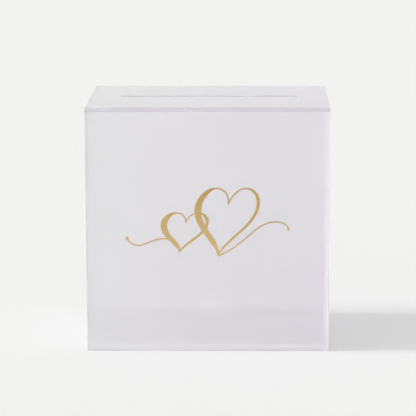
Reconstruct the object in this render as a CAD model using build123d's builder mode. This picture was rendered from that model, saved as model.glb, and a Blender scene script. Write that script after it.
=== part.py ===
"""Frosted acrylic card box: a posting slot in the top and a base panel that slides out at the back.

Millimetres. +Z is up, the front faces -Y, and the origin is the middle of the footprint on the table.
Walls, top, runners and guides are cemented together, with a thin film of cement in each joint.
The base panel rides on the runners.
"""

import os
from math import cos, pi, sin

from build123d import *

# Box
box_width = 254.0
box_depth = 178.0
wall_height = 254.0  # the top panel lies on the walls and adds its own thickness
sheet = 4.5  # cast acrylic, every wall and the top
cement_line = 0.05  # film of solvent cement in every glued joint
edge_round = 0.5  # flame-polished edge
corner_round = 0.9  # upright outside corners

# Posting slot
slot_length = 188.0
slot_width = 12.0
slot_corner = 2.0

# Sliding base and what carries it
base_sheet = 4.5
base_side_play = 0.5  # each side, between the base and the side panels
base_front_play = 0.2  # between the base and the front panel when it is home
base_lift = 0.05  # running film between the base and the runners under it
guide_play = 0.5  # between the base and the guides above it
runner_thickness = 2.0
runner_width = 8.0
guide_height = 3.0
guide_width = 6.0
notch_radius = 11.0  # thumb notch in the back panel, over the base's rear edge

# Foil flourish on the front panel
foil_thickness = 0.12
foil_adhesive = 0.03
hairline = 1.35
broad_stroke = 7.0
heart_slant = 0.20  # sideways lean per unit of height
heart_steps = 10  # points down each half of a heart
terminal_radius = 1.8
stroke_samples = 26
swell_power = 1.4
taper_share = 0.16  # part of a stroke over which its swell grows and dies away

# Worked out
inner_width = box_width - 2 * sheet
inner_depth = box_depth - 2 * sheet
front_y = -box_depth / 2
inner_front_y = front_y + sheet
base_bottom = runner_thickness + base_lift
base_top = base_bottom + base_sheet
exit_height = base_top + guide_play
base_width = inner_width - 2 * base_side_play
base_length = box_depth - sheet - base_front_play

pieces = {}

# Front panel: full width, in front of the side panels
with BuildPart() as front_panel:
    with BuildSketch(Plane.XZ.offset(-inner_front_y)):
        Rectangle(box_width, wall_height, align=(Align.CENTER, Align.MIN))
    extrude(amount=sheet)
    outer_face = front_panel.faces().sort_by(Axis.Y)[0]
    fillet(outer_face.edges().filter_by(Axis.Z), radius=corner_round)
    foot = front_panel.edges().filter_by(Axis.X).group_by(Axis.Z)[0].sort_by(Axis.Y)[0]
    fillet(foot, radius=edge_round)
pieces["front_panel"] = front_panel.part

# Back panel: full width, with the base's exit and a thumb notch over it
with BuildPart() as back_panel:
    with BuildSketch(Plane.XZ.offset(-box_depth / 2)):
        Rectangle(box_width, wall_height, align=(Align.CENTER, Align.MIN))
        Rectangle(inner_width, exit_height, align=(Align.CENTER, Align.MIN), mode=Mode.SUBTRACT)
        with Locations((0, exit_height)):
            Circle(notch_radius, mode=Mode.SUBTRACT)
    extrude(amount=sheet)
    outer_face = back_panel.faces().sort_by(Axis.Y)[-1]
    corners = outer_face.edges().filter_by(Axis.Z).group_by(Axis.X)
    fillet(corners[0] + corners[-1], radius=corner_round)
pieces["back_panel"] = back_panel.part

# Side panels, between the front and the back, with the runner and the guide that each carries
glued_depth = inner_depth - 2 * cement_line
runner_length = box_depth - sheet - cement_line
for side, name in ((-1, "left"), (1, "right")):
    wall_x = side * (inner_width + sheet) / 2
    runner_x = side * ((inner_width - runner_width) / 2 - cement_line)
    guide_x = side * ((inner_width - guide_width) / 2 - cement_line)

    with BuildPart() as side_panel:
        with BuildSketch():
            with Locations((wall_x, 0)):
                Rectangle(sheet, glued_depth)
        extrude(amount=wall_height)
        foot = side_panel.edges().filter_by(Axis.Y).group_by(Axis.Z)[0].sort_by(Axis.X)
        fillet(foot[-1] if side > 0 else foot[0], radius=edge_round)
    pieces[f"{name}_panel"] = side_panel.part

    with BuildPart() as runner:
        with BuildSketch():
            with Locations((runner_x, box_depth / 2)):
                Rectangle(runner_width, runner_length, align=(Align.CENTER, Align.MAX))
        extrude(amount=runner_thickness)
    pieces[f"{name}_runner"] = runner.part

    with BuildPart() as guide:
        with BuildSketch(Plane.XY.offset(exit_height)):
            with Locations((guide_x, 0)):
                Rectangle(guide_width, glued_depth)
        extrude(amount=guide_height)
    pieces[f"{name}_guide"] = guide.part

# Top panel, laid over all four walls
with BuildPart() as top_panel:
    with BuildSketch(Plane.XY.offset(wall_height + cement_line)):
        RectangleRounded(box_width, box_depth, corner_round)
        RectangleRounded(slot_length, slot_width, slot_corner, mode=Mode.SUBTRACT)
    extrude(amount=sheet)
    fillet(top_panel.faces().sort_by(Axis.Z)[-1].edges(), radius=edge_round)
pieces["top_panel"] = top_panel.part

# Base panel, home against the front panel and flush with the back
with BuildPart() as base_panel:
    with BuildSketch(Plane.XY.offset(base_bottom)):
        with Locations((0, box_depth / 2)):
            Rectangle(base_width, base_length, align=(Align.CENTER, Align.MAX))
    extrude(amount=base_sheet)
    rear_face = base_panel.faces().sort_by(Axis.Y)[-1]
    fillet(rear_face.edges().filter_by(Axis.X), radius=edge_round)
pieces["base_panel"] = base_panel.part


def heart_half(middle, tip, width, height, side):
    """Points down one half of a slanted heart, from the dip between its lobes to its tip.

    The usual heart curve: sin^3 t across, 13 cos t - 5 cos 2t - 2 cos 3t - cos 4t upwards.
    It is 29 high, and its tip is at -17.
    """
    points = []
    for step in range(heart_steps + 1):
        turn = pi * step / heart_steps
        out = side * sin(turn) ** 3 * width / 2
        curve = 13 * cos(turn) - 5 * cos(2 * turn) - 2 * cos(3 * turn) - cos(4 * turn)
        rise = (curve + 17) / 29 * height
        points.append((middle + out + heart_slant * rise, tip + rise))
    return points


def pen_stroke(route, swell):
    """One pointed-pen stroke as a flat face: a hairline that swells where the pen moves down."""
    spine = Edge.make_spline([Vector(x, z) for x, z in route])
    near, far = [], []
    for i in range(stroke_samples + 1):
        along = i / stroke_samples
        at, way = spine @ along, (spine % along).normalized()
        taper = min(1.0, along / taper_share, (1 - along) / taper_share)
        fall = max(0.0, -way.Y) ** swell_power
        half = (hairline + (swell - hairline) * fall * taper) / 2
        across = Vector(-way.Y, way.X) * half
        near.append(at + across)
        far.append(at - across)
    with BuildSketch(mode=Mode.PRIVATE) as stroke:
        with BuildLine():
            Spline(*near)
            Spline(*far)
            Line(near[0], far[0])
            Line(near[-1], far[-1])
        make_face()
    return stroke.sketch


# Foil flourish: two slanted hearts linked side by side, with a swash to either side
small_heart = {"middle": -29.0, "tip": 106.0, "width": 45.0, "height": 42.0}
large_heart = {"middle": 11.0, "tip": 102.0, "width": 62.0, "height": 72.0}
small_tip = (small_heart["middle"], small_heart["tip"])
large_tip = (large_heart["middle"], large_heart["tip"])
left_swash = [(-84, 121), (-80, 116), (-71, 113.5), (-58, 118), (-46, 120.5), (-34, 115.5), small_tip]
right_swash = [large_tip, (24, 109), (40, 121), (56, 134), (70, 138.5), (80, 136.5), (84.5, 131)]

with BuildPart() as foil_flourish:
    with BuildSketch(Plane.XZ.offset(-front_y + foil_adhesive)):
        for heart in (small_heart, large_heart):
            add(pen_stroke(heart_half(side=-1, **heart), broad_stroke))
            add(pen_stroke(heart_half(side=1, **heart), broad_stroke / 2))
        for swash in (left_swash, right_swash):
            add(pen_stroke(swash, hairline))
        with Locations(left_swash[0], right_swash[-1]):
            Circle(terminal_radius)
    extrude(amount=foil_thickness)
pieces["foil_flourish"] = foil_flourish.part

os.makedirs("parts", exist_ok=True)
for name, piece in pieces.items():
    piece.label = name
    export_step(piece, f"parts/{name}.step")
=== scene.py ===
"""Frosted acrylic card box with a gold foil flourish: finishes, floor, light and camera.

Metres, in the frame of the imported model: +Z up, the front faces -Y, the table is at z = 0.
"""

from math import cos, pi, radians, sin

import bpy
import numpy as np
from mathutils import Matrix, Vector


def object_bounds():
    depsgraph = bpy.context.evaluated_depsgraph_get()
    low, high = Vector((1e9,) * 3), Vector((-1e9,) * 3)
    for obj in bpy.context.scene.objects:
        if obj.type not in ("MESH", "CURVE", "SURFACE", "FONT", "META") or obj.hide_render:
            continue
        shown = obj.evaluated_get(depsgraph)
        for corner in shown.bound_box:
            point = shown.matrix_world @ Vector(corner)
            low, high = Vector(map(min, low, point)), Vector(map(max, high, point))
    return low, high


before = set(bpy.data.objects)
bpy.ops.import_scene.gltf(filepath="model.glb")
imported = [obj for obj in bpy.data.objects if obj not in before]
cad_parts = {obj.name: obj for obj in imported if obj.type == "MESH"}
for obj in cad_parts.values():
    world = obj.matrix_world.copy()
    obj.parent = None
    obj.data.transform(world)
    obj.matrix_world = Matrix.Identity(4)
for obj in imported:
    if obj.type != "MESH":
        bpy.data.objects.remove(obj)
cad_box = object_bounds()
millimetre = 0.001

# Camera: a long lens, a little right of the middle and looking slightly down
camera_place = (0.0474, -2.3486, 0.5648)
camera_turn = radians(1.187)  # to the left of straight ahead
camera_tilt = radians(10.322)  # below the horizon
camera_roll = radians(-0.176)
camera_lens = 190.91
sensor = 36.0

# Light: each lamp is a distant disc, placed by its height above the horizon, its side and its width
# in degrees. The side is counted from due left, round by the front.
surround_colour = "FFFFFF"
horizon_strength = 0.975
zenith_strength = 0.512
lamps = {
    "key": {"strength": 1.15, "height": 38, "side": 2, "width": 14},
    "fill": {"strength": 0.12, "height": 30, "side": 35, "width": 60},
    "card": {"strength": 0.30, "height": 12, "side": 180, "width": 50},
}
light_bounces = 64  # a ray crosses many frosted faces on its way to the lens

# Floor
floor_reach = 30.0
floor_corners = 64
floor_colour = "FAFAF9"
paper_roughness = 0.9
paper_sheen = 0.1  # specular level, low because matt paper hardly shines
paper_tooth = 0.8 * millimetre  # drawn coarser than paper fibre, which is too fine to show
paper_tooth_height = 0.02 * millimetre

# Noise patterns: most of a pattern's values lie between these two
noise_low = 0.3
noise_high = 0.7

# Acrylic
acrylic_ior = 1.49
acrylic_pale = "FFFFFF"
acrylic_deep = "FCFAFE"
base_painted_shade_pale = "F3F1F5"  # painted shade: the base is tinted deeper, which shows as a soft band low on the front
base_painted_shade_deep = "E4E1E7"
edge_clearness = 0.7
half_width = cad_box[1][0]
painted_shade_drift = 0.8  # painted shade: how far the tint deepens from the left side to the right
tint_cloud = 0.2  # how far the cast sheet's unevenness deepens it
edge_normal = 0.4  # part of a surface's normal that runs through the sheet: below this it is an edge
face_normal = 0.9  # above this it is a face
front_edge = (-0.5, -0.9)  # the same, for an edge that turns to the front, where the painted glow goes
cast_cloud = 70 * millimetre  # faint unevenness of a cast sheet
frost_grain = 0.5 * millimetre  # drawn coarser than satin frosting, which is too fine to show
frost_grain_height = 0.005 * millimetre
frost_roughness = (0.05, 0.08)
top_roughness = (0.14, 0.20)
edge_colour = "F9F7FA"
left_edge_painted_shade = "DFDBE4"  # painted shade: a darker tint on this sheet's cut edges, so its front edge shows dark
slide_strips = ("left_runner", "right_runner", "left_guide", "right_guide")
sheets = (
    {"name": "wall", "pieces": ("front_panel", "back_panel"), "across": "Y"},
    {"name": "left", "pieces": ("left_panel",), "across": "X", "edge": left_edge_painted_shade},
    {"name": "right", "pieces": ("right_panel",), "across": "X", "painted_edge_glow": 0.28},
    {
        "name": "top",
        "pieces": ("top_panel",),
        "across": "Z",
        "face_clearness": 0.66,
        "roughness": top_roughness,
    },
    {
        "name": "base",
        "pieces": ("base_panel",),
        "across": "Z",
        "pale": base_painted_shade_pale,
        "deep": base_painted_shade_deep,
        "painted_edge_glow": 0.32,
    },
    {"name": "strip", "pieces": slide_strips, "across": "Z"},
)

# Foil
foil_colour = "DFC48B"
foil_dark_colour = "C4A366"
foil_drag = 1.2 * millimetre  # spacing of the faint bands that the hot press leaves
foil_drag_height = 0.02 * millimetre
foil_drag_stretch = 0.15  # the bands run from side to side
foil_roughness = (0.45, 0.33)
foil_foot = 101 * millimetre  # lowest and highest points of the flourish, which is paler at its foot
foil_head = 175 * millimetre
foil_fade = 0.75  # how far the foil pales towards its foot
foil_bands = 0.25  # how far its bands pale it


def linear(colour):
    """An sRGB hex colour as linear red, green, blue and alpha."""
    channels = [int(colour[i : i + 2], 16) / 255 for i in (0, 2, 4)]
    return [c / 12.92 if c <= 0.04045 else ((c + 0.055) / 1.055) ** 2.4 for c in channels] + [1.0]


def add_node(tree, kind, settings=None, links=None):
    """Adds a node. Settings are its properties and input values, and links feed its inputs.

    An input goes by its name, or by its number where two inputs share a name.
    """
    node = tree.nodes.new(kind)
    for name, value in (settings or {}).items():
        if isinstance(name, int) or name in node.inputs:
            node.inputs[name].default_value = value
        else:
            setattr(node, name, value)
    for name, output in (links or {}).items():
        tree.links.new(output, node.inputs[name])
    return node


def new_material(name):
    """An empty material."""
    material = bpy.data.materials.new(name)
    material.use_nodes = True
    material.node_tree.nodes.clear()
    return material


def finish_material(material, settings, links):
    """Ends a material with its surface shader."""
    tree = material.node_tree
    shader = add_node(tree, "ShaderNodeBsdfPrincipled", settings, links)
    add_node(tree, "ShaderNodeOutputMaterial", links={"Surface": shader.outputs[0]})
    return material


def frosted_acrylic(
    name,
    across,
    pale=acrylic_pale,
    deep=acrylic_deep,
    face_clearness=0.49,
    roughness=frost_roughness,
    edge=edge_colour,
    painted_edge_glow=0.0,
):
    """Cast acrylic, satin-frosted on its two faces and flame-polished on its cut edges.

    Milky, pale lilac white, and see-through enough to show what lies behind as soft shapes, with a
    painted shade that deepens the tint from the left side to the right. The cut edges are of a deeper
    tint, and one that faces the front may carry a painted glow, though it is no lamp. across is the
    axis through the sheet.
    """
    material = new_material(f"frosted_cast_acrylic_{name}")
    tree = material.node_tree
    where = add_node(tree, "ShaderNodeTexCoord")
    facing = add_node(tree, "ShaderNodeSeparateXYZ", links={"Vector": where.outputs["Normal"]})
    face = add_node(tree, "ShaderNodeMath", {"operation": "ABSOLUTE"}, {0: facing.outputs[across]})
    clearness = add_node(
        tree,
        "ShaderNodeMapRange",
        {
            "From Min": edge_normal,
            "From Max": face_normal,
            "To Min": edge_clearness,
            "To Max": face_clearness,
        },
        {"Value": face.outputs[0]},
    )
    grain = add_node(
        tree,
        "ShaderNodeTexNoise",
        {"Scale": 1 / frost_grain, "Detail": 2.0},
        {"Vector": where.outputs["Object"]},
    )
    satin = add_node(
        tree,
        "ShaderNodeMapRange",
        {
            "From Min": noise_low,
            "From Max": noise_high,
            "To Min": roughness[0],
            "To Max": roughness[1],
        },
        {"Value": grain.outputs[0]},
    )
    relief = add_node(
        tree,
        "ShaderNodeBump",
        {"Strength": 0.1, "Distance": frost_grain_height},
        {"Height": grain.outputs[0]},
    )
    cloud = add_node(
        tree,
        "ShaderNodeTexNoise",
        {"Scale": 1 / cast_cloud, "Detail": 2.0},
        {"Vector": where.outputs["Object"]},
    )
    place = add_node(tree, "ShaderNodeSeparateXYZ", links={"Vector": where.outputs["Object"]})
    # painted shade: the tint deepens from the left side to the right, as if the light came from the
    # left
    painted_shade_ramp = add_node(
        tree,
        "ShaderNodeMapRange",
        {"From Min": -half_width, "From Max": half_width, "To Min": 0.0, "To Max": painted_shade_drift},
        {"Value": place.outputs["X"]},
    )
    # the cast sheet's cloud and the painted shade together
    cloud_and_painted_shade = add_node(
        tree,
        "ShaderNodeMath",
        {"operation": "MULTIPLY_ADD", 1: tint_cloud},
        {0: cloud.outputs[0], 2: painted_shade_ramp.outputs[0]},
    )
    tint = add_node(
        tree,
        "ShaderNodeMix",
        {"data_type": "RGBA", 6: linear(pale), 7: linear(deep)},
        {0: cloud_and_painted_shade.outputs[0]},
    )
    edge_tint = add_node(
        tree,
        "ShaderNodeMapRange",
        {"From Min": edge_normal, "From Max": face_normal, "To Min": 1.0, "To Max": 0.0},
        {"Value": face.outputs[0]},
    )
    colour = add_node(
        tree,
        "ShaderNodeMix",
        {"data_type": "RGBA", 7: linear(edge)},
        {0: edge_tint.outputs[0], 6: tint.outputs[2]},
    )
    links = {
        "Base Color": colour.outputs[2],
        "Roughness": satin.outputs[0],
        "Transmission Weight": clearness.outputs[0],
        "Normal": relief.outputs[0],
    }
    # painted glow: the cut edge that faces the front gives off light, though it is no lamp
    if painted_edge_glow:
        glow = add_node(
            tree,
            "ShaderNodeMapRange",
            {
                "From Min": front_edge[0],
                "From Max": front_edge[1],
                "To Min": 0.0,
                "To Max": painted_edge_glow,
            },
            {"Value": facing.outputs["Y"]},
        )
        links["Emission Strength"] = glow.outputs[0]
    return finish_material(material, {"IOR": acrylic_ior}, links)


def gold_foil():
    """Hot-pressed metal foil: warm gold, satin, with faint bands where the press dragged it.

    It is paler towards the flourish's foot.
    """
    material = new_material("hot_pressed_metal_foil")
    tree = material.node_tree
    where = add_node(tree, "ShaderNodeTexCoord")
    stretch = add_node(
        tree,
        "ShaderNodeMapping",
        {"Scale": (foil_drag_stretch, 1.0, 1.0)},
        {"Vector": where.outputs["Object"]},
    )
    bands = add_node(
        tree,
        "ShaderNodeTexNoise",
        {"Scale": 1 / foil_drag, "Detail": 3.0},
        {"Vector": stretch.outputs[0]},
    )
    place = add_node(tree, "ShaderNodeSeparateXYZ", links={"Vector": where.outputs["Object"]})
    fade = add_node(
        tree,
        "ShaderNodeMapRange",
        {"From Min": foil_foot, "From Max": foil_head, "To Min": foil_fade, "To Max": 0.0},
        {"Value": place.outputs["Z"]},
    )
    # the press bands and the paling towards the foot together
    drag_and_fade = add_node(
        tree,
        "ShaderNodeMath",
        {"operation": "MULTIPLY_ADD", 1: foil_bands},
        {0: bands.outputs[0], 2: fade.outputs[0]},
    )
    tint = add_node(
        tree,
        "ShaderNodeMix",
        {"data_type": "RGBA", 6: linear(foil_dark_colour), 7: linear(foil_colour)},
        {0: drag_and_fade.outputs[0]},
    )
    satin = add_node(
        tree,
        "ShaderNodeMapRange",
        {
            "From Min": noise_low,
            "From Max": noise_high,
            "To Min": foil_roughness[0],
            "To Max": foil_roughness[1],
        },
        {"Value": bands.outputs[0]},
    )
    relief = add_node(
        tree,
        "ShaderNodeBump",
        {"Strength": 0.3, "Distance": foil_drag_height},
        {"Height": bands.outputs[0]},
    )
    return finish_material(
        material,
        {"Metallic": 1.0},
        {
            "Base Color": tint.outputs[2],
            "Roughness": satin.outputs[0],
            "Normal": relief.outputs[0],
        },
    )


def matt_paper():
    """Seamless studio paper: white and matt, so it shows only soft shadow and a trace of its tooth."""
    material = new_material("matt_white_paper")
    tree = material.node_tree
    where = add_node(tree, "ShaderNodeTexCoord")
    tooth = add_node(
        tree,
        "ShaderNodeTexNoise",
        {"Scale": 1 / paper_tooth, "Detail": 2.0},
        {"Vector": where.outputs["Object"]},
    )
    relief = add_node(
        tree,
        "ShaderNodeBump",
        {"Strength": 0.1, "Distance": paper_tooth_height},
        {"Height": tooth.outputs[0]},
    )
    return finish_material(
        material,
        {
            "Base Color": linear(floor_colour),
            "Roughness": paper_roughness,
            "Specular IOR Level": paper_sheen,
        },
        {"Normal": relief.outputs[0]},
    )


def dress_nodes():
    """Gives each sheet its acrylic, and the flourish its foil."""
    finishes = {"foil_flourish": gold_foil()}
    for sheet in sheets:
        finish = {name: value for name, value in sheet.items() if name != "pieces"}
        finishes.update(dict.fromkeys(sheet["pieces"], frosted_acrylic(**finish)))
    for name, finish in finishes.items():
        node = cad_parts[name]
        node.data.materials.clear()
        node.data.materials.append(finish)


def lay_floor():
    """A round sheet of paper, flat at table height: radius times cosine and sine of the angle."""
    angles = np.linspace(0, 2 * pi, floor_corners, endpoint=False)
    rim = floor_reach * np.stack([np.cos(angles), np.sin(angles), 0 * angles], axis=1)
    mesh = bpy.data.meshes.new("floor")
    mesh.from_pydata(rim.tolist(), [], [list(range(floor_corners))])
    mesh.materials.append(matt_paper())
    floor = bpy.data.objects.new("floor", mesh)
    bpy.context.scene.collection.objects.link(floor)


def light_surround():
    """A white room, a little brighter round the horizon than overhead."""
    world = bpy.data.worlds.new("surround")
    world.use_nodes = True
    tree = world.node_tree
    where = add_node(tree, "ShaderNodeTexCoord")
    rise = add_node(tree, "ShaderNodeSeparateXYZ", links={"Vector": where.outputs["Generated"]})
    strength = add_node(
        tree,
        "ShaderNodeMapRange",
        {"To Min": horizon_strength, "To Max": zenith_strength},
        {"Value": rise.outputs["Z"]},
    )
    background = tree.nodes["Background"]
    background.inputs["Color"].default_value = linear(surround_colour)
    tree.links.new(strength.outputs[0], background.inputs["Strength"])
    bpy.context.scene.world = world


def hang_lamps():
    """Turns each lamp towards the box, from its height and side."""
    for name, lamp in lamps.items():
        height = radians(lamp["height"])
        side = radians(lamp["side"])
        light = bpy.data.lights.new(name, "SUN")
        light.energy = lamp["strength"]
        light.angle = radians(lamp["width"])
        source = Vector((-cos(height) * cos(side), -cos(height) * sin(side), sin(height)))
        holder = bpy.data.objects.new(name, light)
        holder.rotation_euler = source.to_track_quat("Z", "Y").to_euler()
        holder.location = source
        bpy.context.scene.collection.objects.link(holder)


def follow_light():
    """Follows light through all the frosted faces in its way, at each face's own gloss."""
    cycles = bpy.context.scene.cycles
    cycles.max_bounces = light_bounces
    cycles.transmission_bounces = light_bounces
    cycles.glossy_bounces = light_bounces
    cycles.diffuse_bounces = light_bounces
    cycles.blur_glossy = 0.0


def set_camera():
    """A long-lens camera facing the front panel from a little above."""
    data = bpy.data.cameras.new("camera")
    data.lens = camera_lens
    data.sensor_width = sensor
    data.clip_end = 100.0
    camera = bpy.data.objects.new("camera", data)
    turn = Matrix.Rotation(camera_turn, 4, "Z")
    tilt = Matrix.Rotation(pi / 2 - camera_tilt, 4, "X")
    roll = Matrix.Rotation(camera_roll, 4, "Z")
    camera.matrix_world = Matrix.Translation(camera_place) @ turn @ tilt @ roll
    bpy.context.scene.collection.objects.link(camera)
    bpy.context.scene.camera = camera


dress_nodes()
lay_floor()
light_surround()
hang_lamps()
follow_light()
set_camera()
bpy.context.scene.view_settings.view_transform = "Standard"
